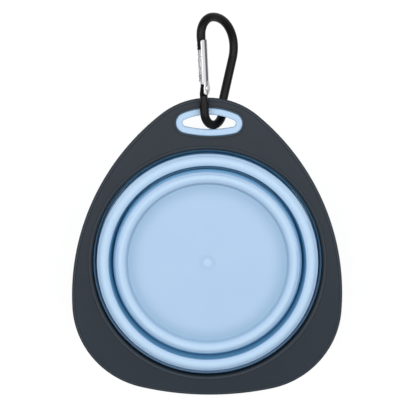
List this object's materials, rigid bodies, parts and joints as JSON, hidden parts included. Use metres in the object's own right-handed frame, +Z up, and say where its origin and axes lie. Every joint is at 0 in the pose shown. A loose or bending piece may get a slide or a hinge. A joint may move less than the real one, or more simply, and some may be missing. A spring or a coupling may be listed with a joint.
{
  "type": "collapsible travel bowl",
  "caption": "Soft bowl that folds flat into a rounded triangular hard frame, with a lined slot carrying a small spring-gate snap hook.",
  "frame": {"origin": "Middle of the bowl floor's underside, on the bowl's axis: the face the open bowl stands on.", "axes": "+Z up out of the bowl's mouth, +Y toward the slot and the snap hook, +X to the right seen from the mouth."},
  "size_m": [0.138, 0.1959, 0.0215],
  "materials": {
    "frame_plastic": "fine matte, moulded",
    "soft_blue": "soft satin elastomer",
    "hook_black": "black anodised, satin",
    "gate_silver": "bright rolled sheet",
    "rivet_steel": "plain"
  },
  "bodies": {
    "frame": {"frame": "frame_plastic", "slot_liner": "soft_blue", "rim_collar": "soft_blue"},
    "upper_fold": {"upper_fold": "soft_blue"},
    "mid_band": {"mid_band": "soft_blue"},
    "lower_fold": {"lower_fold": "soft_blue"},
    "bowl_floor": {"bowl_floor": "soft_blue"},
    "carabiner": {"carabiner_body": "hook_black", "gate_rivet": "rivet_steel"},
    "gate": {"carabiner_gate": "gate_silver", "gate_spring": "rivet_steel"}
  },
  "joints": [
    {"name": "bowl_open", "type": "slide", "parent": "frame", "child": "mid_band", "axis": [0, 0, -1], "range_m": [0, 0.021]},
    {"name": "upper_turn", "type": "slide", "parent": "frame", "child": "upper_fold", "axis": [0, 0, -1], "range_m": [0, 0.0105]},
    {"name": "lower_turn", "type": "slide", "parent": "mid_band", "child": "lower_fold", "axis": [0, 0, -1], "range_m": [0, 0.0105]},
    {"name": "floor_drop", "type": "slide", "parent": "mid_band", "child": "bowl_floor", "axis": [0, 0, -1], "range_m": [0, 0.021]},
    {"name": "hook_swing", "type": "hinge", "parent": "frame", "child": "carabiner", "pos_m": [0.00097, 0.07936, 0.00488], "axis": [0.7009, 0.7133, 0.0035], "range_deg": [0, 70]},
    {"name": "gate_open", "type": "hinge", "parent": "carabiner", "child": "gate", "pos_m": [-0.00217, 0.08953, 0.00793], "axis": [-0.7329, -0.0127, -0.6802], "range_deg": [0, 28], "stiffness_Nm_per_rad": 0.05, "springref_deg": -22.92}
  ],
  "couplings": [
    {"joint": "upper_turn", "follows": "bowl_open", "ratio": 0.5},
    {"joint": "lower_turn", "follows": "bowl_open", "ratio": 0.5},
    {"joint": "floor_drop", "follows": "bowl_open", "ratio": 1}
  ]
}
